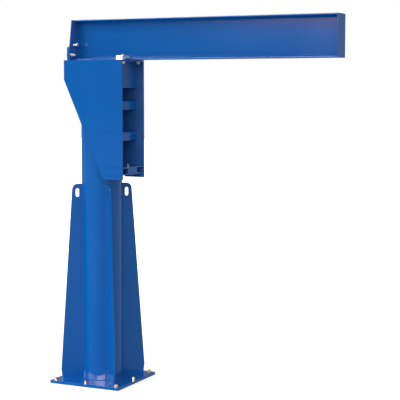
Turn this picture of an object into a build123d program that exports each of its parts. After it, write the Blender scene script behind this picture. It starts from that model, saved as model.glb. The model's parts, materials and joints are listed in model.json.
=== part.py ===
"""Floor-mounted slewing jib crane: a round mast with four gussets on a square base plate, and a
two-cheek head that turns on the mast and carries an I-beam jib.

Millimetres, +Z up, +X along the jib. The origin is the middle of the base plate's underside, so the
mast axis is the Z axis. Left is +Y and right is -Y, looking along the jib.
"""

from build123d import *
import math
import os

# Base plate and its floor anchors
base_side = 587.0
base_thickness = 22.0
anchor_edge = 33.5
anchor_hole_diameter = 18.0

# Mast tube and the blind tapped hole for the earth lead at its foot
mast_diameter = 305.0
mast_wall = 10.0
earth_hole_diameter = 11.0
earth_hole_floor = 3.0
earth_hole_height = 24.0
earth_hole_bearing = 8.5

# Gussets on the base plate's diagonals, up to just under the turning head
gusset_thickness = 15.0
gusset_head_gap = 42.0
gusset_top_reach = 76.0
gusset_anchor_gap = 41.0
gusset_foot_height = 78.0
gusset_foot_inset = 9.5
gusset_corner_radius = 41.0
lifting_slot_width = 28.5
lifting_slot_length = 65.0
lifting_slot_reach = 39.5
lifting_slot_drop = 67.0

# Jib beam, a rolled I-section, and the plates on its ends
jib_underside = 2427.0
jib_reach = 1892.0
beam_height = 300.0
beam_width = 150.0
web_thickness = 7.1
flange_thickness = 10.7
root_radius = 15.0
tip_plate_thickness = 8.0
tip_plate_margin = 2.0
rear_plate_thickness = 6.0
rear_plate_top_margin = 13.5
rear_plate_foot_inset = 3.5
rear_plate_foot_height = 87.0

# Slewing head: two cheeks and a top plate
cheek_thickness = 15.0
cheek_clearance = 5.5
cheek_depth = 880.0
cheek_rear_edge = 145.0
cheek_toe_length = 163.0
head_rear_margin = 68.5
top_plate_thickness = 12.0

# Plates and folded ties between the cheeks, set back from the cheeks' front edges
front_plate_setback = 60.0
front_plate_thickness = 12.0
front_plate_height = 194.0
rear_closer_thickness = 12.0
tie_setback = 60.5
tie_thickness = 10.0
tie_leg = 68.5
tie_bend_radius = 14.0
tie_relief = 36.0
upper_tie_drop = 300.0
lower_tie_drop = 530.0

# Roller box at the foot of the head, which sets how far the head reaches forward
roller_box_rise = 31.0
roller_box_height = 59.0
roller_box_length = 146.0
roller_box_setback = 7.8
roller_plate_thickness = 10.0
roller_plate_relief = 12.0
roller_block_width = 140.0
roller_block_depth = 22.0
roller_block_gap = 12.0
roller_diameter = 90.0
roller_rolling_gap = 0.3
roller_side_gap = 1.0
roller_angle = 21.5
roller_pin_diameter = 32.0
roller_pin_head_margin = 6.0
roller_pin_head_height = 6.0
roller_pin_stub_diameter = 18.0
roller_pin_stub_height = 12.0
roller_pin_stand = 2.0
roller_pin_hole_clearance = 0.2

# Upper bearing: king pin on the mast cap, hub under the head's top plate
running_clearance = 0.05
cap_thickness = 15.0
king_pin_diameter = 70.0
king_pin_end_gap = 2.0
hub_wall = 35.0
hub_height = 60.0
thrust_ring_width = 29.0
thrust_ring_height = 20.0
thrust_ring_clearance = 1.0
thrust_gap = 0.2

# Rear bracket, a wide plate with a narrower tongue. Bolts hold the jib's rear plate to its foot, and
# levelling screws in the rear plate bear on the tongue.
bracket_thickness = 16.5
bracket_width = 254.0
bracket_side_height = 96.0
bracket_shoulder_rise = 16.0
bracket_tongue_width = 160.0
bracket_height = 150.0
rear_bolt_hole_diameter = 17.5
rear_bolt_inset = 28.0
rear_bolt_height = 39.0
levelling_screw_hole_diameter = 16.5
levelling_screw_inset = 12.0
levelling_screw_drop = 35.0

# Front clamps that hold the beam's lower flange on the head
clamp_width = 49.5
clamp_thickness = 19.0
clamp_bite = 13.0
clamp_overhang = 5.3
packing_length = 36.0
clamp_bolt_hole_diameter = 17.5
clamp_bolt_gap = 22.0

# Places that follow from the sizes above
mast_radius = mast_diameter / 2
cheek_inner = mast_radius + cheek_clearance
cheek_outer = cheek_inner + cheek_thickness
anchor_half_spacing = base_side / 2 - anchor_edge
head_underside = jib_underside - top_plate_thickness
cheek_foot = jib_underside - cheek_depth
gusset_top = cheek_foot - gusset_head_gap
thrust_ring_top = head_underside - hub_height - thrust_gap
cap_top = thrust_ring_top - thrust_ring_height
mast_top = cap_top - cap_thickness
roller_box_foot = cheek_foot + roller_box_rise
roller_box_top = roller_box_foot + roller_box_height
roller_radius = roller_diameter / 2
roller_orbit = mast_radius + roller_rolling_gap + roller_radius
roller_x = roller_orbit * math.cos(math.radians(roller_angle))
roller_y = roller_orbit * math.sin(math.radians(roller_angle))
roller_block_rear = roller_x + roller_radius + roller_block_gap
roller_box_front = roller_block_rear + roller_block_depth
head_front = roller_box_front + roller_box_setback
head_rear = mast_radius + head_rear_margin
bracket_front = bracket_thickness - head_rear
beam_start = bracket_front + rear_plate_thickness
beam_end = jib_reach - tip_plate_thickness
beam_top = jib_underside + beam_height
clamp_front = head_front + clamp_overhang
clamp_bolt_x = clamp_front - clamp_width / 2
clamp_bolt_y = cheek_outer - packing_length - clamp_bolt_gap
rear_bolt_y = bracket_width / 2 - rear_bolt_inset
rear_bolt_z = jib_underside + rear_bolt_height
levelling_screw_y = bracket_tongue_width / 2 - levelling_screw_inset
levelling_screw_z = jib_underside + bracket_height - levelling_screw_drop


def slab(x, y, z):
    """A box between two values on each axis."""
    lows, highs = zip(x, y, z)
    sizes = [high - low for low, high in zip(lows, highs)]
    middle = [(high + low) / 2 for low, high in zip(lows, highs)]
    return Pos(*middle) * Box(*sizes)


def drum(diameter, z_low, z_high, x=0.0, y=0.0):
    """An upright cylinder between two heights."""
    return Pos(x, y, (z_low + z_high) / 2) * Cylinder(diameter / 2, z_high - z_low)


def side_plate(points, y_low, y_high):
    """An upright plate whose outline is given as (x, z) points."""
    outline = make_face(Plane.XZ * Polyline(*points, close=True))
    return Pos(0, y_high, 0) * extrude(outline, amount=y_high - y_low)


def end_plate(points, x_low, x_high):
    """An upright plate across the jib whose outline is given as (y, z) points."""
    outline = make_face(Plane.YZ * Polyline(*points, close=True))
    return Pos(x_low, 0, 0) * extrude(outline, amount=x_high - x_low)


def mirrored_outline(half):
    """Closes a half outline of (y, z) points by its mirror image about the jib's plane."""
    return half + [(-y, z) for y, z in reversed(half)]


def level_bore(diameter, x_low, x_high, y, z):
    """A level bore along the jib."""
    bore = Cylinder(diameter / 2, x_high - x_low)
    return Pos((x_low + x_high) / 2, y, z) * Rot(0, 90, 0) * bore


def anchor_points():
    """Hole centres at the corners and the middles of the sides of the anchor square."""
    steps = (-anchor_half_spacing, 0.0, anchor_half_spacing)
    return [(x, y) for x in steps for y in steps if (x, y) != (0.0, 0.0)]


def base_plate():
    half = base_side / 2
    plate = slab((-half, half), (-half, half), (0, base_thickness))
    for x, y in anchor_points():
        plate -= drum(anchor_hole_diameter, 0, base_thickness, x, y)
    return plate


def mast_tube():
    tube = drum(mast_diameter, base_thickness, mast_top)
    tube -= drum(mast_diameter - 2 * mast_wall, base_thickness, mast_top)
    depth = mast_wall - earth_hole_floor
    hole_middle = Pos(0, depth / 2 - mast_radius, base_thickness + earth_hole_height)
    hole = hole_middle * Rot(90, 0, 0) * Cylinder(earth_hole_diameter / 2, depth)
    return tube - Rot(0, 0, earth_hole_bearing) * hole


def gusset(angle):
    """A tapering plate on one diagonal, with a rounded top corner and a lifting slot."""
    foot_radius = math.sqrt(2) * anchor_half_spacing - gusset_anchor_gap
    outline = Polyline(
        (0, base_thickness),
        (foot_radius - gusset_foot_inset, base_thickness),
        (foot_radius, base_thickness + gusset_foot_height),
        (mast_radius + gusset_top_reach, gusset_top),
        (0, gusset_top),
        close=True,
    )
    face = make_face(outline)
    outer_corner = face.vertices().sort_by(Axis.Y)[-2:].sort_by(Axis.X)[-1]
    face = fillet(outer_corner, gusset_corner_radius)
    slot = SlotOverall(lifting_slot_length, lifting_slot_width, rotation=90)
    face -= Pos(mast_radius + lifting_slot_reach, gusset_top - lifting_slot_drop) * slot
    plate = Pos(0, gusset_thickness / 2, 0) * extrude(Plane.XZ * face, amount=gusset_thickness)
    plate -= drum(mast_diameter, base_thickness, gusset_top)
    return Rot(0, 0, angle) * plate


def mast_cap():
    return drum(mast_diameter, mast_top, cap_top)


def king_pin():
    return drum(king_pin_diameter, cap_top, head_underside - king_pin_end_gap)


def thrust_ring():
    bore = king_pin_diameter + 2 * thrust_ring_clearance
    ring = drum(bore + 2 * thrust_ring_width, cap_top, thrust_ring_top)
    return ring - drum(bore, cap_top, thrust_ring_top)


def bearing_hub():
    bore = king_pin_diameter + 2 * running_clearance
    hub_foot = head_underside - hub_height
    hub = drum(king_pin_diameter + 2 * hub_wall, hub_foot, head_underside)
    return hub - drum(bore, hub_foot, head_underside)


def cheek(side):
    """One cheek: upright at the rear, then tapering to a narrow toe in front of the mast."""
    outline = [
        (-head_rear, jib_underside),
        (-head_rear, jib_underside - cheek_rear_edge),
        (head_front - cheek_toe_length, cheek_foot),
        (head_front, cheek_foot),
        (head_front, jib_underside),
    ]
    y_low, y_high = sorted((side * cheek_inner, side * cheek_outer))
    return side_plate(outline, y_low, y_high)


def head_top_plate():
    """The plate under the jib, with the holes for the clamp bolts."""
    plate = slab((-head_rear, head_front), (-cheek_inner, cheek_inner), (head_underside, jib_underside))
    for side in (-1, 1):
        bolt_place = (clamp_bolt_x, side * clamp_bolt_y)
        plate -= drum(clamp_bolt_hole_diameter, head_underside, jib_underside, *bolt_place)
    return plate


def head_front_plate():
    face = head_front - front_plate_setback
    foot = head_underside - front_plate_height
    return slab((face - front_plate_thickness, face), (-cheek_inner, cheek_inner), (foot, head_underside))


def head_rear_plate():
    foot = jib_underside - cheek_rear_edge
    x_range = (-head_rear, rear_closer_thickness - head_rear)
    return slab(x_range, (-cheek_inner, cheek_inner), (foot, head_underside))


def folded_tie(drop):
    """A folded angle between the cheeks. Its flat leg is cut back in an arc round the mast."""
    top = jib_underside - drop
    face = head_front - tie_setback
    flat_leg = slab((0, face), (-cheek_inner, cheek_inner), (top - tie_thickness, top))
    flat_leg -= drum(mast_diameter + 2 * tie_relief, top - tie_thickness, top)
    front_leg = slab((face - tie_thickness, face), (-cheek_inner, cheek_inner), (top - tie_leg, top))
    angle = flat_leg + front_leg
    bend = angle.edges().filter_by(Axis.Y).filter_by_position(Axis.Z, top, top).sort_by(Axis.X)[-1]
    return fillet(bend, tie_bend_radius)


def roller_plate(z_low):
    """A plate of the roller box, cut back in an arc round the mast, with holes for the roller pins."""
    z_high = z_low + roller_plate_thickness
    x_range = (roller_box_front - roller_box_length, roller_box_front)
    plate = slab(x_range, (-cheek_inner, cheek_inner), (z_low, z_high))
    plate -= drum(mast_diameter + 2 * roller_plate_relief, z_low, z_high)
    hole = roller_pin_diameter + 2 * roller_pin_hole_clearance
    for side in (-1, 1):
        plate -= drum(hole, z_low, z_high, roller_x, side * roller_y)
    return plate


def roller_box_block():
    half = roller_block_width / 2
    z_range = (roller_box_foot + roller_plate_thickness, roller_box_top - roller_plate_thickness)
    return slab((roller_block_rear, roller_box_front), (-half, half), z_range)


def roller(side):
    low = roller_box_foot + roller_plate_thickness + roller_side_gap
    high = roller_box_top - roller_plate_thickness - roller_side_gap
    bore = roller_pin_diameter + 2 * running_clearance
    wheel = drum(roller_diameter, low, high, roller_x, side * roller_y)
    return wheel - drum(bore, low, high, roller_x, side * roller_y)


def roller_pin(side):
    """A pin with a head under the roller box and a turned stub on its upper end."""
    y = side * roller_y
    shoulder = roller_box_top + roller_pin_stand
    head = roller_pin_diameter + 2 * roller_pin_head_margin
    pin = drum(roller_pin_diameter, roller_box_foot, shoulder, roller_x, y)
    pin += drum(head, roller_box_foot - roller_pin_head_height, roller_box_foot, roller_x, y)
    return pin + drum(roller_pin_stub_diameter, shoulder, shoulder + roller_pin_stub_height, roller_x, y)


def rear_bracket():
    """The upright plate on the head: wide at its foot, with a tongue for the levelling screws."""
    shoulder = jib_underside + bracket_side_height
    half = [
        (bracket_width / 2, jib_underside),
        (bracket_width / 2, shoulder),
        (bracket_tongue_width / 2, shoulder + bracket_shoulder_rise),
        (bracket_tongue_width / 2, jib_underside + bracket_height),
    ]
    plate = end_plate(mirrored_outline(half), -head_rear, bracket_front)
    for side in (-1, 1):
        bolt_place = (side * rear_bolt_y, rear_bolt_z)
        plate -= level_bore(rear_bolt_hole_diameter, -head_rear, bracket_front, *bolt_place)
    return plate


def jib_beam():
    """The rolled I-section, with its root fillets."""
    flange = Rectangle(beam_width, flange_thickness)
    flange_middle = (beam_height - flange_thickness) / 2
    section = Rectangle(web_thickness, beam_height - 2 * flange_thickness)
    section = Pos(0, flange_middle) * flange + section + Pos(0, -flange_middle) * flange
    on_web = [v for v in section.vertices() if abs(v.X) < beam_width / 4]
    section = fillet(on_web, root_radius)
    start = Plane.YZ.offset(beam_start) * Pos(0, jib_underside + beam_height / 2)
    return extrude(start * section, amount=beam_end - beam_start)


def jib_rear_plate():
    """The jib's rear plate, with holes for the rear bolts and, above them, the levelling screws."""
    foot_half = bracket_width / 2 - rear_plate_foot_inset
    half = [
        (foot_half, jib_underside),
        (foot_half, jib_underside + rear_plate_foot_height),
        (beam_width / 2 + rear_plate_top_margin, beam_top),
    ]
    plate = end_plate(mirrored_outline(half), bracket_front, beam_start)
    for side in (-1, 1):
        bolt_place = (side * rear_bolt_y, rear_bolt_z)
        plate -= level_bore(rear_bolt_hole_diameter, bracket_front, beam_start, *bolt_place)
        screw_place = (side * levelling_screw_y, levelling_screw_z)
        plate -= level_bore(levelling_screw_hole_diameter, bracket_front, beam_start, *screw_place)
    return plate


def jib_tip_plate():
    half = beam_width / 2 + tip_plate_margin
    return slab((beam_end, jib_reach), (-half, half), (jib_underside, beam_top))


def clamp(side):
    """A clamp bar that bears on the beam's lower flange and on its packing."""
    y_range = sorted((side * (beam_width / 2 - clamp_bite), side * cheek_outer))
    foot = jib_underside + flange_thickness
    head = foot + clamp_thickness
    bar = slab((clamp_front - clamp_width, clamp_front), y_range, (foot, head))
    return bar - drum(clamp_bolt_hole_diameter, foot, head, clamp_bolt_x, side * clamp_bolt_y)


def clamp_packing(side):
    y_range = sorted((side * (cheek_outer - packing_length), side * cheek_outer))
    z_range = (jib_underside, jib_underside + flange_thickness)
    return slab((clamp_front - clamp_width, clamp_front), y_range, z_range)


def crane():
    """Every piece of the crane by its name."""
    pieces = {
        "base_plate": base_plate(),
        "mast_tube": mast_tube(),
        "mast_cap": mast_cap(),
        "king_pin": king_pin(),
        "thrust_ring": thrust_ring(),
        "bearing_hub": bearing_hub(),
        "head_top_plate": head_top_plate(),
        "head_front_plate": head_front_plate(),
        "head_rear_plate": head_rear_plate(),
        "upper_tie": folded_tie(upper_tie_drop),
        "lower_tie": folded_tie(lower_tie_drop),
        "roller_box_top": roller_plate(roller_box_top - roller_plate_thickness),
        "roller_box_bottom": roller_plate(roller_box_foot),
        "roller_box_block": roller_box_block(),
        "rear_bracket": rear_bracket(),
        "jib_beam": jib_beam(),
        "jib_rear_plate": jib_rear_plate(),
        "jib_tip_plate": jib_tip_plate(),
    }
    corners = ("front_left", "rear_left", "rear_right", "front_right")
    for number, corner in enumerate(corners):
        pieces[f"gusset_{corner}"] = gusset(45 + 90 * number)
    for name, side in (("left", 1), ("right", -1)):
        pieces[f"cheek_{name}"] = cheek(side)
        pieces[f"roller_{name}"] = roller(side)
        pieces[f"roller_pin_{name}"] = roller_pin(side)
        pieces[f"clamp_{name}"] = clamp(side)
        pieces[f"clamp_packing_{name}"] = clamp_packing(side)
    return pieces


os.makedirs("parts", exist_ok=True)
for name, piece in crane().items():
    export_step(piece, f"parts/{name}.step")
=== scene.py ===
import json
from math import cos, pi, radians, sin, tan

import bmesh
import bpy
import numpy as np
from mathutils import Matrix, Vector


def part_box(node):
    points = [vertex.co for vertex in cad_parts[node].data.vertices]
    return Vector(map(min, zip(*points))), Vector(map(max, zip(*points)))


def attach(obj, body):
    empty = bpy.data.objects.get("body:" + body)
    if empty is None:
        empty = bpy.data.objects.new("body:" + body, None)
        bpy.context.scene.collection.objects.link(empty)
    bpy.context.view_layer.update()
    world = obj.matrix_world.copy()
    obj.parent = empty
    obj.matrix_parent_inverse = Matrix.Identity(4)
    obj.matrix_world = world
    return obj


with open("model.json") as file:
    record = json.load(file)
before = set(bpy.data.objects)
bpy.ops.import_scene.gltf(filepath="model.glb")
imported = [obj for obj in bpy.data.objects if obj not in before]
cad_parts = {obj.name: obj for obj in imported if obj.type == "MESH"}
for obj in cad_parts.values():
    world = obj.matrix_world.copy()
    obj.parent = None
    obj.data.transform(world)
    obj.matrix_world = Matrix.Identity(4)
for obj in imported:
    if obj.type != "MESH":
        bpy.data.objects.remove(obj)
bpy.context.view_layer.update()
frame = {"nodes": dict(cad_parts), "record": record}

mm = 0.001               # sizes below are millimetres, meshes are metres
tau = 2 * pi
forward, backward, up, down = (1, 0, 0), (-1, 0, 0), (0, 0, 1), (0, 0, -1)
bothSides = (-1, 1)      # right of the jib, then left of it
print("frame loaded:", len(frame["nodes"]), "nodes")


def boxOf(node):
    return [np.array(corner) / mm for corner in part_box(node)]


# colours and nodes

def linear(hexColour):
    # the sRGB curve undone: a straight part near black and a power above it
    srgb = np.array([int(hexColour[i:i + 2], 16) for i in (1, 3, 5)]) / 255
    low, high = srgb / 12.92, ((srgb + 0.055) / 1.055) ** 2.4
    return (*np.where(srgb <= 0.04045, low, high), 1.0)


def addNode(tree, kind, settings=None, links=None):
    new = tree.nodes.new(kind)
    for key, value in (settings or {}).items():
        if isinstance(key, str) and hasattr(new, key):
            setattr(new, key, value)
        else:
            new.inputs[key].default_value = value
    for key, source in (links or {}).items():
        socket = source.outputs[0] if isinstance(source, bpy.types.Node) else source
        tree.links.new(socket, new.inputs[key])
    return new


times, larger = {"operation": "MULTIPLY"}, {"operation": "MAXIMUM"}
mixColour, firstColour, secondColour, mixedColour = {"data_type": "RGBA"}, 6, 7, 2   # sockets of a colour mix
mixFirst, mixSecond = 2, 3                                                           # sockets of a plain mix


def softEdged(tree, edges):
    # the product of soft steps: each eases from one level to the other while its value crosses a span
    patch = None
    for value, (start, end), low, high in edges:
        step = addNode(tree, "ShaderNodeMapRange",
                       {"interpolation_type": "SMOOTHSTEP", "From Min": start, "From Max": end,
                        "To Min": low, "To Max": high}, {"Value": value})
        patch = step if patch is None else addNode(tree, "ShaderNodeMath", times, {0: patch, 1: step})
    return patch


def newMaterial(name):
    material = bpy.data.materials.new(name)
    material.use_nodes = True
    tree = material.node_tree
    tree.nodes.clear()
    place = addNode(tree, "ShaderNodeTexCoord").outputs["Object"]
    return material, tree, place


def closeMaterial(tree, shader):
    addNode(tree, "ShaderNodeOutputMaterial", links={"Surface": shader})


# Sprayed two-pack enamel on steel plate: an even deep blue under a hard gloss. The eye sees clean
# mirror images that sway a little, because the plates aren't dead flat and the film has orange peel.
enamel = {
    "deep": "#055AA8", "light": "#0A60AE", "dipShade": "#0757A1",   # a thick film, a thin one, and painted shade in a weld line's dip
    "cloudSize": 420, "cloudDetail": 3.0, "waveSize": 260, "waveDetail": 1.0,   # mm
    "peelSize": 9,                                   # mm; real peel is 3 mm, drawn coarser so that it shows
    "peelHeight": 0.006, "waveHeight": 0.08,         # mm
    "rough": (0.08, 0.13), "roughBox": (0.28, 0.34), "roughEnd": (0.7, 0.8), "roughInside": 0.57,
    "shine": 0.5, "dryShine": 0.1, "ior": 1.42,
}


def blueEnamel(name, rough=enamel["rough"], weldPrintsAndShade=(), rolledEdges=(), innerSide=None):
    material, tree, place = newMaterial(name)
    cloud = addNode(tree, "ShaderNodeTexNoise",
                    {"Scale": 1 / (enamel["cloudSize"] * mm), "Detail": enamel["cloudDetail"]},
                    {"Vector": place})
    colour = addNode(tree, "ShaderNodeMix", {**mixColour, firstColour: linear(enamel["deep"]),
                                             secondColour: linear(enamel["light"])}, {0: cloud})
    gloss = addNode(tree, "ShaderNodeMapRange", {"To Min": rough[0], "To Max": rough[1]}, {"Value": cloud})
    wave = addNode(tree, "ShaderNodeTexNoise",
                   {"Scale": 1 / (enamel["waveSize"] * mm), "Detail": enamel["waveDetail"]},
                   {"Vector": place})
    facing = addNode(tree, "ShaderNodeBump", {"Distance": enamel["waveHeight"] * mm}, {"Height": wave})
    peel = addNode(tree, "ShaderNodeTexNoise",
                   {"Scale": 1 / (enamel["peelSize"] * mm), "Detail": enamel["waveDetail"]},
                   {"Vector": place})
    facing = addNode(tree, "ShaderNodeBump", {"Distance": enamel["peelHeight"] * mm},
                     {"Height": peel, "Normal": facing})
    axes = addNode(tree, "ShaderNodeSeparateXYZ", links={"Vector": place})
    along, sideways, height = (axes.outputs[axis] for axis in "XYZ")

    for line in weldPrintsAndShade:      # a weld on the far side draws the plate in along a soft line, and the colour there is darkened as painted shade of that dip
        away = addNode(tree, "ShaderNodeMath", {"operation": "SUBTRACT", 1: line["height"]}, {0: height})
        away = addNode(tree, "ShaderNodeMath", {"operation": "ABSOLUTE"}, {0: away})
        start, end, width = line["start"], line["end"], line["width"]
        dip = softEdged(tree, [(away, (0.0, width), 1.0, 0.0),
                               (along, (start - width, start + width), 0.0, 1.0),
                               (along, (end - width, end + width), 1.0, 0.0)])
        facing = addNode(tree, "ShaderNodeBump", {"Distance": line["depth"], "invert": True},
                         {"Height": dip, "Normal": facing})
        # painted shade: inside the dip the colour is mixed toward a darker blue
        colour = addNode(tree, "ShaderNodeMix", {**mixColour, secondColour: linear(enamel["dipShade"])},
                         {0: dip, firstColour: colour.outputs[mixedColour]})

    dry = None
    for edge in rolledEdges:     # a swelling edge leans by the height from its middle over the radius
        rise = addNode(tree, "ShaderNodeMath", {"operation": "SUBTRACT", 1: edge["middle"]}, {0: height})
        within = addNode(tree, "ShaderNodeMath", {"operation": "COMPARE", 1: 0.0, 2: edge["half"]}, {0: rise})
        lean = addNode(tree, "ShaderNodeMath", {**times, 1: 1 / edge["radius"]}, {0: rise})
        lean = addNode(tree, "ShaderNodeMath", times, {0: lean, 1: within})
        lean = addNode(tree, "ShaderNodeCombineXYZ", links={"Z": lean})
        facing = addNode(tree, "ShaderNodeVectorMath", {"operation": "ADD"}, {0: facing, 1: lean})
        facing = addNode(tree, "ShaderNodeVectorMath", {"operation": "NORMALIZE"}, {0: facing})
        root = addNode(tree, "ShaderNodeMath",
                       {"operation": "COMPARE", 1: edge["rootMiddle"], 2: edge["rootHalf"]}, {0: height})
        dry = root if dry is None else addNode(tree, "ShaderNodeMath", larger, {0: dry, 1: root})

    if innerSide is not None:    # spray reaches an inner face from afar and lands half dry, so it is duller
        aside = addNode(tree, "ShaderNodeMath", {"operation": "ABSOLUTE"}, {0: sideways})
        inner = addNode(tree, "ShaderNodeMath", {"operation": "LESS_THAN", 1: innerSide}, {0: aside})
        gloss = addNode(tree, "ShaderNodeMix", {mixSecond: enamel["roughInside"]},
                        {0: inner, mixFirst: gloss})
    links = {"Base Color": colour.outputs[mixedColour], "Roughness": gloss, "Normal": facing}
    if dry is not None:          # spray lands dry in the roots, so they hardly shine
        shine = addNode(tree, "ShaderNodeMapRange", {"To Min": enamel["shine"], "To Max": enamel["dryShine"]},
                        {"Value": dry})
        links["Specular IOR Level"] = shine
    closeMaterial(tree, addNode(tree, "ShaderNodeBsdfPrincipled", {"IOR": enamel["ior"]}, links))
    return material


# Zinc plate, passivated: a pale metal with a soft cloudy shine and, on the bolts, a straw tint in patches.
zinc = {"cloudSize": 14, "cloudDetail": 2.0, "grainSize": 2.5, "grainHeight": 0.02}   # mm


def zincPlate(name, pale, tint, rough):
    material, tree, place = newMaterial(name)
    cloud = addNode(tree, "ShaderNodeTexNoise",
                    {"Scale": 1 / (zinc["cloudSize"] * mm), "Detail": zinc["cloudDetail"]}, {"Vector": place})
    colour = addNode(tree, "ShaderNodeMix",
                     {**mixColour, firstColour: linear(pale), secondColour: linear(tint)}, {0: cloud})
    gloss = addNode(tree, "ShaderNodeMapRange", {"To Min": rough[0], "To Max": rough[1]}, {"Value": cloud})
    grain = addNode(tree, "ShaderNodeTexNoise", {"Scale": 1 / (zinc["grainSize"] * mm)}, {"Vector": place})
    facing = addNode(tree, "ShaderNodeBump", {"Distance": zinc["grainHeight"] * mm}, {"Height": grain})
    shader = addNode(tree, "ShaderNodeBsdfPrincipled", {"Metallic": 1.0},
                     {"Base Color": colour.outputs[mixedColour], "Roughness": gloss, "Normal": facing})
    closeMaterial(tree, shader)
    return material


# Turned metal, oiled: fine rings round the axis, so the shine is drawn out along it.
turning = {"ringPitch": 3.0,         # mm; real rings are 0.3 mm apart, drawn coarser so that they show
           "ringHeight": 0.03, "ringWaver": 0.4, "streakSize": 30}
waveRepeat = tau / 20                # a wave texture of scale 1 repeats at this distance


def turnedMetal(name, bright, dark, rough):
    material, tree, place = newMaterial(name)
    rings = addNode(tree, "ShaderNodeTexWave",
                    {"bands_direction": "Z", "Scale": waveRepeat / (turning["ringPitch"] * mm),
                     "Distortion": turning["ringWaver"]}, {"Vector": place})
    facing = addNode(tree, "ShaderNodeBump", {"Distance": turning["ringHeight"] * mm},
                     {"Height": rings.outputs["Fac"]})
    streak = addNode(tree, "ShaderNodeTexNoise", {"Scale": 1 / (turning["streakSize"] * mm)},
                     {"Vector": place})
    colour = addNode(tree, "ShaderNodeMix",
                     {**mixColour, firstColour: linear(bright), secondColour: linear(dark)}, {0: streak})
    shader = addNode(tree, "ShaderNodeBsdfPrincipled", {"Metallic": 1.0, "Roughness": rough},
                     {"Base Color": colour.outputs[mixedColour], "Normal": facing})
    closeMaterial(tree, shader)
    return material


# the ties and roller plates are welded to the cheeks' inner faces and show through as faint lines: a real dip
# in the surface, with painted shade in its colour
weldPrint = {"width": 9, "depth": 0.35}                  # mm
weldPrintsAndShade = []
for node, face in (("upper_tie", 1), ("lower_tie", 1), ("roller_box_top", 1), ("roller_box_bottom", 0)):
    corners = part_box(node)
    weldPrintsAndShade.append({"height": corners[face].z, "start": corners[0].x, "end": corners[1].x,
                       "width": weldPrint["width"] * mm, "depth": weldPrint["depth"] * mm})

# the jib's rolled section: flat flanges with swelling edges, and a rounded root on each side of the web
section = {"web": 7.1, "flange": 10.7, "root": 15, "edgeRadius": 40}   # mm
flange, root = section["flange"] * mm, section["root"] * mm
rolledEdges = [{"middle": corner.z + way * flange / 2, "half": flange / 2,
                "radius": section["edgeRadius"] * mm,
                "rootMiddle": corner.z + way * (flange + root / 2), "rootHalf": root / 2}
               for corner, way in zip(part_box("jib_beam"), (1, -1))]
cheekMiddle = sum(corner.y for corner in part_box("cheek_left")) / 2

bluePaint = blueEnamel("sprayed blue enamel")
jibPaint = blueEnamel("sprayed blue enamel on rolled edges", rolledEdges=rolledEdges)
cheekPaint = blueEnamel("sprayed blue enamel over weld lines with painted shade", weldPrintsAndShade=weldPrintsAndShade, innerSide=cheekMiddle)
boxPaint = blueEnamel("blue enamel sprayed into the head", rough=enamel["roughBox"])
endPaint = blueEnamel("blue enamel sprayed into a corner", rough=enamel["roughEnd"])
clampZinc = zincPlate("bright zinc plate", pale="#F4F4F2", tint="#E6E6E2", rough=(0.4, 0.5))
boltZinc = zincPlate("straw passivated zinc", pale="#E6E0CC", tint="#CDB674", rough=(0.3, 0.42))
# painted shade: a darker copy of the straw zinc for the clamp bolts, whose heads lie in shade
shadedZinc = zincPlate("straw zinc darkened as painted shade", pale="#A79F88", tint="#857650", rough=(0.5, 0.6))
paleZinc = zincPlate("pale passivated zinc", pale="#F2F2F0", tint="#D2D2CE", rough=(0.3, 0.42))
turnedSteel = turnedMetal("turned oiled steel", bright="#A9ACAF", dark="#7F8386", rough=0.3)
turnedBronze = turnedMetal("turned bearing bronze", bright="#C79A55", dark="#9C7236", rough=0.36)

slotFinish = {"blue_paint": bluePaint, "zinc_plate": clampZinc, "turned_steel": turnedSteel,
              "bearing_bronze": turnedBronze}
ownFinish = {"cheek_left": cheekPaint, "cheek_right": cheekPaint, "jib_beam": jibPaint,
             "head_front_plate": boxPaint, "jib_rear_plate": endPaint}
nodeSlot = {part["node"]: part["material_slot"] for part in frame["record"]["subparts"]}
for name, obj in frame["nodes"].items():
    obj.data.materials.clear()
    obj.data.materials.append(ownFinish.get(name, slotFinish[nodeSlot[name]]))
print("finishes given to the CAD nodes")


# rounded edges of the cut and rolled plates
plateEdge = {"radius": 1.0, "steps": 3, "mergeWithin": 0.01, "sharpFrom": 40, "flatTo": 0.6}   # mm, degrees
roundNodes = ("mast_tube", "mast_cap", "king_pin", "thrust_ring", "bearing_hub",
              "roller_left", "roller_right", "roller_pin_left", "roller_pin_right")


def roundEdges(obj):
    weld = obj.modifiers.new("joinTriangles", "WELD")
    weld.merge_threshold = plateEdge["mergeWithin"] * mm
    flat = obj.modifiers.new("flatFaces", "DECIMATE")
    flat.decimate_type = "DISSOLVE"
    flat.angle_limit = radians(plateEdge["flatTo"])
    bevel = obj.modifiers.new("edgeRound", "BEVEL")
    bevel.width = plateEdge["radius"] * mm
    bevel.segments = plateEdge["steps"]
    bevel.limit_method = "ANGLE"
    bevel.angle_limit = radians(plateEdge["sharpFrom"])
    bevel.use_clamp_overlap = False
    bevel.loop_slide = False
    bevel.harden_normals = True


for name, obj in frame["nodes"].items():
    if name not in roundNodes:
        roundEdges(obj)
print("plate edges rounded")


# new pieces: grids of points made into one mesh
mergeWithin = 0.002                  # mm
crispFrom, softFrom = 32, 60         # degrees; nuts keep their edges, threads and welds are smooth


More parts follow.
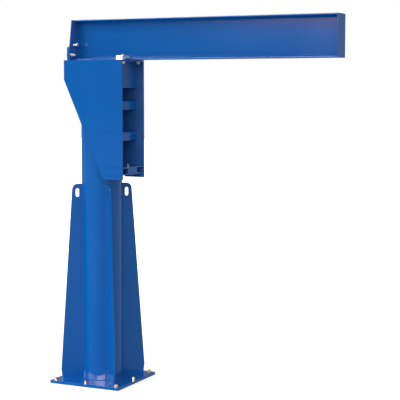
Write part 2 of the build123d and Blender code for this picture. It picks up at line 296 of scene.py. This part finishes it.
def gridMesh(name, grids, material, body, sharpFrom):
    points, faces, start = [], [], 0
    for grid in grids:               # rows along, columns round and closed
        rows, columns = grid.shape[:2]
        index = start + np.arange(rows * columns).reshape(rows, columns)
        after = np.roll(index, -1, axis=1)
        faces.append(np.stack([index[:-1], after[:-1], after[1:], index[1:]], -1).reshape(-1, 4))
        points.append(grid.reshape(-1, 3))
        start += rows * columns
    mesh = bpy.data.meshes.new(name)
    mesh.from_pydata(np.concatenate(points) * mm, [], np.concatenate(faces))
    work = bmesh.new()
    work.from_mesh(mesh)
    bmesh.ops.remove_doubles(work, verts=work.verts, dist=mergeWithin * mm)
    bmesh.ops.dissolve_degenerate(work, edges=work.edges, dist=mergeWithin * mm)
    bmesh.ops.recalc_face_normals(work, faces=work.faces)
    work.to_mesh(mesh)
    work.free()
    mesh.shade_smooth()
    mesh.set_sharp_from_angle(angle=radians(sharpFrom))
    mesh.materials.append(material)
    obj = bpy.data.objects.new(name, mesh)
    bpy.context.scene.collection.objects.link(obj)
    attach(obj, body)


# every bolt on the crane is an M16
m16 = {"diameter": 16, "pitch": 2.0, "threadDepth": 1.2, "pointDepth": 1.32, "rowsPerTurn": 6,   # mm
       "acrossFlats": 24, "nutHeight": 13, "headHeight": 10, "bore": 14.88, "lip": 1.0,
       "rim": 22.8, "rimSlope": 30,  # mm and degrees
       "washerOuter": 30, "washerInner": 17.5, "washerThickness": 3, "washerEdge": 0.4,
       "sink": 1}                    # a screw's thread starts this far inside its head
nutStack = m16["washerThickness"] + m16["nutHeight"]
roundSteps = 48
turnShare = np.arange(roundSteps) / roundSteps
roundAngle = turnShare * tau
hair = 1e-6                          # mm; keeps the last row of a range


def turned(radius, height, origin, axis, across):
    # a profile carried round an axis: point = origin + height along the axis + radius round it;
    # radius is one value for each height, or a table of height by angle
    radius = np.atleast_2d(radius)
    radius = radius.T if radius.shape[0] == 1 else radius
    shape = np.broadcast_shapes(radius.shape, (1, roundSteps))
    height = np.broadcast_to(np.reshape(height, (len(radius), -1)), shape)
    axis, across = np.array(axis, float), np.array(across, float)
    spoke = np.cos(roundAngle)[:, None] * across + np.sin(roundAngle)[:, None] * np.cross(axis, across)
    return np.array(origin) + height[..., None] * axis + np.broadcast_to(radius, shape)[..., None] * spoke


def hexBlock(height, bore, origin, axis, across):
    # a hexagon with both rims turned to a cone, which leaves the curved edge on each flat; its side stands
    # at half the width over the cosine of the angle from the middle of the flat
    side = m16["acrossFlats"] / 2 / np.cos(roundAngle % (tau / 6) - tau / 12)
    rim = np.full(roundSteps, m16["rim"] / 2)
    fall = (side - rim) * tan(radians(m16["rimSlope"]))
    lip = m16["lip"] if bore else 0
    hole, foot = np.full(roundSteps, bore / 2), np.zeros(roundSteps)
    top = foot + height
    radius = np.stack([hole, hole + lip, rim, side, side, rim, hole + lip, hole, hole])
    heights = np.stack([foot + lip, foot, foot, fall, top - fall, top, top, top - lip, foot + lip])
    return turned(radius, heights, origin, axis, across)


def washer(origin, axis, across):
    # a flat ring with its four corners taken off
    outer, inner, thick, edge = (m16["washer" + size] for size in ("Outer", "Inner", "Thickness", "Edge"))
    radius = np.array([inner, inner, inner + 2 * edge, outer - 2 * edge, outer, outer, outer - 2 * edge,
                       inner + 2 * edge, inner]) / 2
    height = np.array([edge, thick - edge, thick, thick, thick - edge, edge, 0, 0, edge])
    return turned(radius, height, origin, axis, across)


def threadedEnd(length, origin, axis, across):
    # radius falls and rises once a pitch along the axis and once a turn round it, and a cone ends it
    crest = m16["diameter"] / 2
    height = np.arange(0, length + hair, m16["pitch"] / m16["rowsPerTurn"])
    saw = np.abs((height[:, None] / m16["pitch"] - turnShare) % 1 * 2 - 1)
    cone = crest - m16["pointDepth"] + (length - height)
    radius = np.minimum(crest - m16["threadDepth"] * saw, cone[:, None])
    closed = np.zeros((1, roundSteps))
    radius = np.concatenate([closed, radius, closed])
    height = np.concatenate([[0], height, [length]])
    return turned(radius, height, origin, axis, across)


# floor anchors: studs up through the base plate, each with a washer and a nut
anchor = {"standOut": 4, "foot": 1, "turns": (11, 34, 52, 18, 7, 41, 25, 3)}   # mm, and degrees as tightened
mounts = {mount["name"]: mount for mount in frame["record"]["mounts"]}
spacing = mounts["anchor_corners"]["dims"]["spacing_x_mm"] / 2
plateTop = boxOf("base_plate")[1][2]
anchorPoints = [(x, y) for x in (-spacing, 0, spacing) for y in (-spacing, 0, spacing) if (x, y) != (0, 0)]
nuts, washers, studs = [], [], []
for (x, y), turn in zip(anchorPoints, anchor["turns"]):
    across = (cos(radians(turn)), sin(radians(turn)), 0)
    seat = plateTop + m16["washerThickness"]
    washers.append(washer((x, y, plateTop), up, across))
    nuts.append(hexBlock(m16["nutHeight"], m16["bore"], (x, y, seat), up, across))
    length = plateTop + nutStack + anchor["standOut"] - anchor["foot"]
    studs.append(threadedEnd(length, (x, y, anchor["foot"]), up, across))
gridMesh("anchor_nuts", nuts, boltZinc, "mast", crispFrom)
gridMesh("anchor_washers", washers, boltZinc, "mast", crispFrom)
gridMesh("anchor_studs", studs, boltZinc, "mast", softFrom)
print("floor anchors:", len(anchorPoints))


# rear bolts: studs through the bracket and the jib's rear plate, with a nut on each end
rearBolt = {"rearOut": 5, "frontOut": 20, "inset": 28, "rise": 39, "turns": (8, 27)}   # mm and degrees
bracketLow, bracketHigh = boxOf("rear_bracket")
rearFace, frontFace = bracketLow[0], boxOf("jib_rear_plate")[1][0]
studs, nuts, washers = [], [], []
for side, turn in zip(bothSides, rearBolt["turns"]):
    y, z = side * (bracketHigh[1] - rearBolt["inset"]), bracketLow[2] + rearBolt["rise"]
    across = (0, cos(radians(turn)), sin(radians(turn)))
    for face, way in ((rearFace, backward), (frontFace, forward)):
        seat = face + m16["washerThickness"] * way[0]
        washers.append(washer((face, y, z), way, across))
        nuts.append(hexBlock(m16["nutHeight"], m16["bore"], (seat, y, z), way, across))
    studStart = rearFace - nutStack - rearBolt["rearOut"]
    length = frontFace + nutStack + rearBolt["frontOut"] - studStart
    studs.append(threadedEnd(length, (studStart, y, z), forward, across))
gridMesh("rear_studs", studs, paleZinc, "jib", softFrom)
gridMesh("rear_nuts", nuts, paleZinc, "jib", crispFrom)
gridMesh("rear_washers", washers, paleZinc, "jib", crispFrom)

# levelling screws: through the rear plate, tips on the bracket's tongue, heads standing off
levelling = {"standOff": 27, "sideways": 68, "drop": 35, "turns": (12, 40)}   # mm and degrees
tongueFace = bracketHigh[0]
headFace = frontFace + levelling["standOff"]
threadStart = headFace + m16["sink"]
screws = []
for side, turn in zip(bothSides, levelling["turns"]):
    y, z = side * levelling["sideways"], bracketHigh[2] - levelling["drop"]
    across = (0, cos(radians(turn)), sin(radians(turn)))
    screws.append(hexBlock(m16["headHeight"], 0, (headFace, y, z), forward, across))
    screws.append(threadedEnd(threadStart - tongueFace, (threadStart, y, z), backward, across))
gridMesh("levelling_screws", screws, paleZinc, "jib", softFrom)
print("rear studs: 2, levelling screws: 2")


# clamp bolts: down through the clamps and the head's top plate, nuts below
clampBolt = {"standOut": 5, "sideways": 115, "turns": (20, 44)}   # mm and degrees
clampLow, clampHigh = boxOf("clamp_left")
headLow, headHigh = boxOf("head_top_plate")
boltX, clampTop, headFoot = (clampLow[0] + clampHigh[0]) / 2, clampHigh[2], headLow[2]
threadStart = clampTop + m16["sink"]
bolts, nuts, washers = [], [], []
for side, turn in zip(bothSides, clampBolt["turns"]):
    y, seat = side * clampBolt["sideways"], headFoot - m16["washerThickness"]
    across = (cos(radians(turn)), sin(radians(turn)), 0)
    washers.append(washer((boltX, y, headFoot), down, across))
    bolts.append(hexBlock(m16["headHeight"], 0, (boltX, y, clampTop), up, across))
    nuts.append(hexBlock(m16["nutHeight"], m16["bore"], (boltX, y, seat), down, across))
    length = threadStart - headFoot + nutStack + clampBolt["standOut"]
    bolts.append(threadedEnd(length, (boltX, y, threadStart), down, across))
# the clamp bolts take the darker zinc, as painted shade
gridMesh("clamp_bolts", bolts, shadedZinc, "jib", softFrom)
gridMesh("clamp_nuts", nuts, clampZinc, "jib", crispFrom)
gridMesh("clamp_washers", washers, clampZinc, "jib", crispFrom)
print("clamp bolts: 2")


# weld beads
weldShape = {"columns": 7, "endRows": 5, "sink": 0.4, "hollow": 0.16,          # mm, and a share of the leg
             "ripplePitch": 6.0, "rippleRows": 3, "rippleHeight": 0.06}


def weldBead(path, sideA, sideB, leg):
    # a rounded fillet between two plates: radius = leg, less a little in the middle, plus a ripple that is
    # a curved tooth along the bead; both ends close in a quarter circle
    path = np.array(path, float)
    sideA, sideB = (np.broadcast_to(np.array(side, float), path.shape) for side in (sideA, sideB))
    walked = np.concatenate([[0], np.cumsum(np.linalg.norm(np.diff(path, axis=0), axis=1))])
    length = walked[-1]
    ends = leg * (1 - np.cos(np.linspace(0, pi / 2, weldShape["endRows"])))
    run = np.arange(leg, length - leg, weldShape["ripplePitch"] / weldShape["rippleRows"])
    along = np.unique(np.concatenate([ends, run, length - ends]))
    root, armA, armB = (np.stack([np.interp(along, walked, line[:, k]) for k in range(3)], -1)
                        for line in (path, sideA, sideB))
    root = root - weldShape["sink"] * (armA + armB)
    reach = np.minimum(np.minimum(along, length - along) / leg, 1)
    closing = np.sqrt(np.maximum(1 - (1 - reach) ** 2, 0))
    angle = np.linspace(0, pi / 2, weldShape["columns"])
    bend = (angle / (pi / 4) - 1) ** 2
    tooth = (along[:, None] / weldShape["ripplePitch"] + bend / 2) % 1
    dip, ripple = weldShape["hollow"] * np.sin(2 * angle) ** 2, weldShape["rippleHeight"] * (tooth - 1 / 2)
    radius = leg * (1 - dip + ripple) * closing[:, None]
    arm = np.cos(angle)[:, None] * armA[:, None] + np.sin(angle)[:, None] * armB[:, None]
    return np.concatenate([root[:, None], root[:, None] + radius[..., None] * arm], axis=1)


welds = {"mastLeg": 5, "gussetLeg": 5, "headLeg": 4, "jibLeg": 3,              # mm
         "tieBend": 14, "flangeGap": 2, "arcSteps": 60, "rootSteps": 12}

# round the mast's foot, and along both sides of each gusset and its outer end
gusset = {"half": 7.5, "reach": 317.2}   # mm; half its thickness, and its foot from the mast axis
mastRadius = boxOf("mast_tube")[1][1]
gussetTop = boxOf("gusset_front_left")[1][2]
gussetSpread = np.arcsin(gusset["half"] / mastRadius)
gussetMeet = mastRadius * cos(gussetSpread)
beads = []
for corner in range(4):
    middle = tau / 8 + corner * tau / 4
    angle = np.linspace(middle + gussetSpread, middle + tau / 4 - gussetSpread, welds["arcSteps"])
    spoke = np.stack([np.cos(angle), np.sin(angle), 0 * angle], -1)
    beads.append(weldBead(mastRadius * spoke + (0, 0, plateTop), spoke, up, welds["mastLeg"]))
    outward, leftward = np.array([cos(middle), sin(middle), 0]), np.array([-sin(middle), cos(middle), 0])
    inner, outer = gussetMeet * outward + (0, 0, plateTop), gusset["reach"] * outward + (0, 0, plateTop)
    rise = np.array([0, 0, gussetTop - plateTop])
    for side in bothSides:
        sideways = side * leftward
        face = gusset["half"] * sideways
        beads.append(weldBead([inner + face, outer + face], sideways, up, welds["gussetLeg"]))
        beads.append(weldBead([inner + face, inner + face + rise], sideways, outward, welds["gussetLeg"]))
    across = gusset["half"] * leftward
    beads.append(weldBead([outer - across, outer + across], outward, up, welds["gussetLeg"]))
gridMesh("mast_welds", beads, bluePaint, "mast", softFrom)

# the head's front plate, top plate, ties and roller plates to both cheeks
cheekInner = boxOf("cheek_left")[0][1]
plateLow, plateHigh = boxOf("head_front_plate")
plateFace = plateHigh[0]
beads = [weldBead([(plateFace, -cheekInner, plateHigh[2]), (plateFace, cheekInner, plateHigh[2])],
                  forward, down, welds["headLeg"])]
for side in bothSides:
    wall, inward = side * cheekInner, (0, -side, 0)
    runs = [((plateFace, plateLow[2]), (plateFace, plateHigh[2]), forward),
            ((plateFace, headFoot), (headHigh[0], headFoot), down)]
    for node in ("upper_tie", "lower_tie"):
        tieLow, tieHigh = boxOf(node)
        runs.append(((tieHigh[0], tieLow[2]), (tieHigh[0], tieHigh[2] - welds["tieBend"]), forward))
        runs.append(((tieLow[0], tieHigh[2]), (tieHigh[0] - welds["tieBend"], tieHigh[2]), up))
    for node, face, away in (("roller_box_top", 1, up), ("roller_box_bottom", 0, down)):
        corners = boxOf(node)
        level = corners[face][2]
        runs.append(((corners[0][0], level), (corners[1][0], level), away))
    for (startX, startZ), (endX, endZ), away in runs:
        beads.append(weldBead([(startX, wall, startZ), (endX, wall, endZ)], away, inward, welds["headLeg"]))
gridMesh("head_welds", beads, bluePaint, "jib", softFrom)

# the jib's end plates are welded along the web, round the root and out along both flanges
beamLow, beamHigh = boxOf("jib_beam")
rootAngle = np.linspace(0, pi / 2, welds["rootSteps"])
rootY = section["web"] / 2 + section["root"]
lowZ, highZ = beamLow[2] + section["flange"], beamHigh[2] - section["flange"]
rootTurn = np.stack([np.sin(rootAngle), np.cos(rootAngle)], -1)
rootLine = (rootY, lowZ + section["root"]) - section["root"] * rootTurn
lower = np.concatenate([[(beamHigh[1] - welds["flangeGap"], lowZ)], rootLine])
lowerAway = np.concatenate([[(0, 1)], rootTurn])
outline = np.concatenate([lower, (0, lowZ + highZ) + lower[::-1] * (1, -1)])
away = np.concatenate([lowerAway, lowerAway[::-1] * (1, -1)])
beads = []
for station, along in ((beamLow[0], forward), (beamHigh[0], backward)):
    for side in bothSides:
        path = np.stack([np.full(len(outline), station), side * outline[:, 0], outline[:, 1]], -1)
        lift = np.stack([np.zeros(len(away)), side * away[:, 0], away[:, 1]], -1)
        beads.append(weldBead(path, along, lift, welds["jibLeg"]))
gridMesh("jib_welds", beads, bluePaint, "jib", softFrom)
print("weld beads made")


# studio: a white floor and sky, a soft key from the left, and cloth and a window that only the shine sees
studio = {"floorSide": 80.0, "floorPale": "#F4F4F4", "floorOwn": "#A0A0A0",    # m
          "glowNear": 0.35, "glowFar": 1.0, "glowOver": (1.5, 7.0),           # m from the mast
          "skyMean": 0.74, "skySwing": 0.72, "skyLeast": 0.04, "skyTurn": -28, "skyRise": 42,   # degrees
          "ceiling": 0.2, "ceilingFrom": (20, 38)}       # the shine finds it dark overhead; degrees up


def seenMask(tree):
    # one for what the camera sees, straight or by way of shine or glass, and nought for plain light
    path = addNode(tree, "ShaderNodeLightPath")
    mask = path.outputs["Is Camera Ray"]
    for ray in ("Is Glossy Ray", "Is Transmission Ray"):
        mask = addNode(tree, "ShaderNodeMath", {"operation": "ADD", "use_clamp": True},
                       {0: mask, 1: path.outputs[ray]})
    return mask


def stageObject(name, points, faces, material):
    mesh = bpy.data.meshes.new(name)
    mesh.from_pydata(points, [], faces)
    mesh.materials.append(material)
    obj = bpy.data.objects.new(name, mesh)
    bpy.context.scene.collection.objects.link(obj)
    return obj


# White painted floor: the eye sees a white that burns out far off, and the crane's soft shadow near by.
material, tree, place = newMaterial("white studio floor")
own = addNode(tree, "ShaderNodeBsdfDiffuse", {"Color": linear(studio["floorOwn"])})
pale = addNode(tree, "ShaderNodeBsdfDiffuse", {"Color": linear(studio["floorPale"])})
away = addNode(tree, "ShaderNodeVectorMath", {"operation": "LENGTH"}, {0: place}).outputs["Value"]
glow = softEdged(tree, [(away, studio["glowOver"], studio["glowNear"], studio["glowFar"])])
glow = addNode(tree, "ShaderNodeEmission", links={"Strength": glow})
seen = addNode(tree, "ShaderNodeAddShader", links={0: pale, 1: glow})
closeMaterial(tree, addNode(tree, "ShaderNodeMixShader", links={0: seenMask(tree), 1: own, 2: seen}))
half = studio["floorSide"] / 2
floorCorners = [(-half, -half, 0), (half, -half, 0), (half, half, 0), (-half, half, 0)]
stageObject("floor", floorCorners, [(0, 1, 2, 3)], material)


# Woven cloth all round the studio: the gloss shows it dark on the left and grey on the right, with a pale
# panel left of the front, a warm glow over that and a bright window higher up. On the floor it is lighter
# to the right.
cloth = {"radius": 60.0, "height": 35.0, "gap": 0.2, "lift": 0.001, "steps": 96,   # m
         "dark": 0.02, "grey": 0.32, "greyRise": (-30, 13),                       # degrees round
         "behind": 0.3, "behindFall": (-130, -95),
         "panel": 0.2, "panelRise": (-32, -17), "panelFall": (-8, 6),
         "floorLeft": 0.26, "floorRight": 0.5, "floorRise": (25, 60)}
warmGlow = {"level": 15.0, "tint": "#FFAC50", "rise": (-27, -16),                 # degrees round
            "bottom": (5.6, 8.4), "top": (9.0, 11.0)}                            # m up
window = {"level": 32.0, "leftLevel": 12.0, "tint": "#FFE7DD", "leftRise": (-128, -118), "rise": (-18, -12),
          "fall": (34, 44), "bottom": (10.2, 11.0), "top": (21.0, 22.0)}


def newCloth(name):
    material, tree, place = newMaterial(name)
    axes = addNode(tree, "ShaderNodeSeparateXYZ", links={"Vector": place})
    front = addNode(tree, "ShaderNodeMath", {**times, 1: -1.0}, {0: axes.outputs["Y"]})
    turn = addNode(tree, "ShaderNodeMath", {"operation": "ARCTAN2"}, {0: axes.outputs["X"], 1: front})
    return material, tree, turn, axes.outputs["Z"]


def onlyInShine(obj):
    obj.visible_camera = obj.visible_diffuse = obj.visible_shadow = False


wallCloth, tree, turn, height = newCloth("grey studio cloth")
panelFall = (turn, np.radians(cloth["panelFall"]), 1.0, 0.0)
tone = softEdged(tree, [(turn, np.radians(cloth["greyRise"]), cloth["dark"], cloth["grey"])])
behind = softEdged(tree, [(turn, np.radians(cloth["behindFall"]), cloth["behind"], 0.0)])
panel = softEdged(tree, [(turn, np.radians(cloth["panelRise"]), 0.0, cloth["panel"]), panelFall])
for patch in (behind, panel):
    tone = addNode(tree, "ShaderNodeMath", larger, {0: tone, 1: patch})
warm = softEdged(tree, [(turn, np.radians(warmGlow["rise"]), 0.0, warmGlow["level"]), panelFall,
                        (height, warmGlow["bottom"], 0.0, 1.0), (height, warmGlow["top"], 1.0, 0.0)])
left = softEdged(tree, [(turn, np.radians(window["leftRise"]), 0.0, window["leftLevel"])])
right = softEdged(tree, [(turn, np.radians(window["rise"]), 0.0, window["level"])])
pane = softEdged(tree, [(turn, np.radians(window["fall"]), 1.0, 0.0), (height, window["bottom"], 0.0, 1.0),
                        (height, window["top"], 1.0, 0.0)])
bright = addNode(tree, "ShaderNodeMath", larger, {0: left, 1: right})
bright = addNode(tree, "ShaderNodeMath", times, {0: bright, 1: pane})
shader = addNode(tree, "ShaderNodeEmission", links={"Strength": tone})
for light, tint in ((warm, warmGlow["tint"]), (bright, window["tint"])):
    light = addNode(tree, "ShaderNodeEmission", {"Color": linear(tint)}, {"Strength": light})
    shader = addNode(tree, "ShaderNodeAddShader", links={0: shader, 1: light})
closeMaterial(tree, shader)

floorCloth, tree, turn, height = newCloth("grey floor cloth")
tone = softEdged(tree, [(turn, np.radians(cloth["floorRise"]), cloth["floorLeft"], cloth["floorRight"])])
closeMaterial(tree, addNode(tree, "ShaderNodeEmission", links={"Strength": tone}))

index = np.arange(cloth["steps"])
after = np.roll(index, -1)
angle = index / cloth["steps"] * tau
ring = cloth["radius"] * np.stack([np.cos(angle), np.sin(angle), 0 * angle], -1)
ringFaces = np.stack([index, after, after + cloth["steps"], index + cloth["steps"]], -1)
wallPoints = np.concatenate([ring, ring + (0, 0, cloth["height"])])
floorPoints = np.concatenate([ring, ring * cloth["gap"] / cloth["radius"]]) + (0, 0, cloth["lift"])
onlyInShine(stageObject("cloth_wall", wallPoints, ringFaces, wallCloth))
onlyInShine(stageObject("cloth_floor", floorPoints, ringFaces, floorCloth))

# the sky: plain light comes brightest from one side, and the camera sees it white
world = bpy.data.worlds.new("studio")
bpy.context.scene.world = world
world.use_nodes = True
tree = world.node_tree
tree.nodes.clear()
ray = addNode(tree, "ShaderNodeTexCoord").outputs["Generated"]
turn, rise = radians(studio["skyTurn"]), radians(studio["skyRise"])
brightest = (sin(turn) * cos(rise), -cos(turn) * cos(rise), sin(rise))
level = addNode(tree, "ShaderNodeVectorMath", {"operation": "DOT_PRODUCT", 1: brightest}, {0: ray})
level = addNode(tree, "ShaderNodeMath",
                {"operation": "MULTIPLY_ADD", 1: studio["skySwing"], 2: studio["skyMean"]},
                {0: level.outputs["Value"]})
level = addNode(tree, "ShaderNodeMath", {**larger, 1: studio["skyLeast"]}, {0: level})
height = addNode(tree, "ShaderNodeSeparateXYZ", links={"Vector": ray}).outputs["Z"]
ceiling = softEdged(tree, [(height, np.sin(np.radians(studio["ceilingFrom"])), 1.0, studio["ceiling"])])
toCamera = addNode(tree, "ShaderNodeLightPath").outputs["Is Camera Ray"]
ceiling = addNode(tree, "ShaderNodeMath", larger, {0: ceiling, 1: toCamera})
white = {"Color": linear("#FFFFFF")}
soft = addNode(tree, "ShaderNodeBackground", white, {"Strength": level})
seen = addNode(tree, "ShaderNodeBackground", white, {"Strength": ceiling})
both = addNode(tree, "ShaderNodeMixShader", links={0: seenMask(tree), 1: soft, 2: seen})
addNode(tree, "ShaderNodeOutputWorld", links={"Surface": both})


# soft boxes: a large key high on the left, and a small one at the foot that neither camera nor shine sees
keyLamp = {"at": (-6.6, -9.4, 6.3), "aim": (0.2, 0.0, 1.2), "width": 5.0, "height": 3.0, "watts": 280}   # m
footLamp = {"at": (-1.0, -2.6, 0.5), "aim": (0.0, 0.0, 0.4), "width": 1.6, "height": 0.8, "watts": 17}


def areaLamp(name, settings):
    lamp = bpy.data.lights.new(name, "AREA")
    lamp.shape = "RECTANGLE"
    lamp.size, lamp.size_y, lamp.energy = settings["width"], settings["height"], settings["watts"]
    obj = bpy.data.objects.new(name, lamp)
    bpy.context.scene.collection.objects.link(obj)
    obj.location = settings["at"]
    direction = Vector(settings["aim"]) - Vector(settings["at"])
    obj.rotation_euler = direction.to_track_quat("-Z", "Y").to_euler()
    return obj


areaLamp("key_softbox", keyLamp)
footBox = areaLamp("foot_softbox", footLamp)
footBox.visible_camera = footBox.visible_glossy = False
print("studio lit")


# the camera stands where the picture was taken from
view = {"at": (4.64418, -7.97142, 2.21286), "azimuth": 25.621, "down": 5.198,   # m and degrees
        "lens": 109.757, "sensor": 36.0, "reach": 200}                          # mm, mm and m
camera = bpy.data.cameras.new("camera")
camera.lens, camera.sensor_width, camera.clip_end = view["lens"], view["sensor"], view["reach"]
cameraObject = bpy.data.objects.new("camera", camera)
bpy.context.scene.collection.objects.link(cameraObject)
cameraObject.location = view["at"]
cameraObject.rotation_euler = (radians(90 - view["down"]), 0, radians(view["azimuth"]))
bpy.context.scene.camera = cameraObject
bpy.context.scene.view_settings.view_transform = "Standard"

bpy.context.view_layer.update()
print("finished")
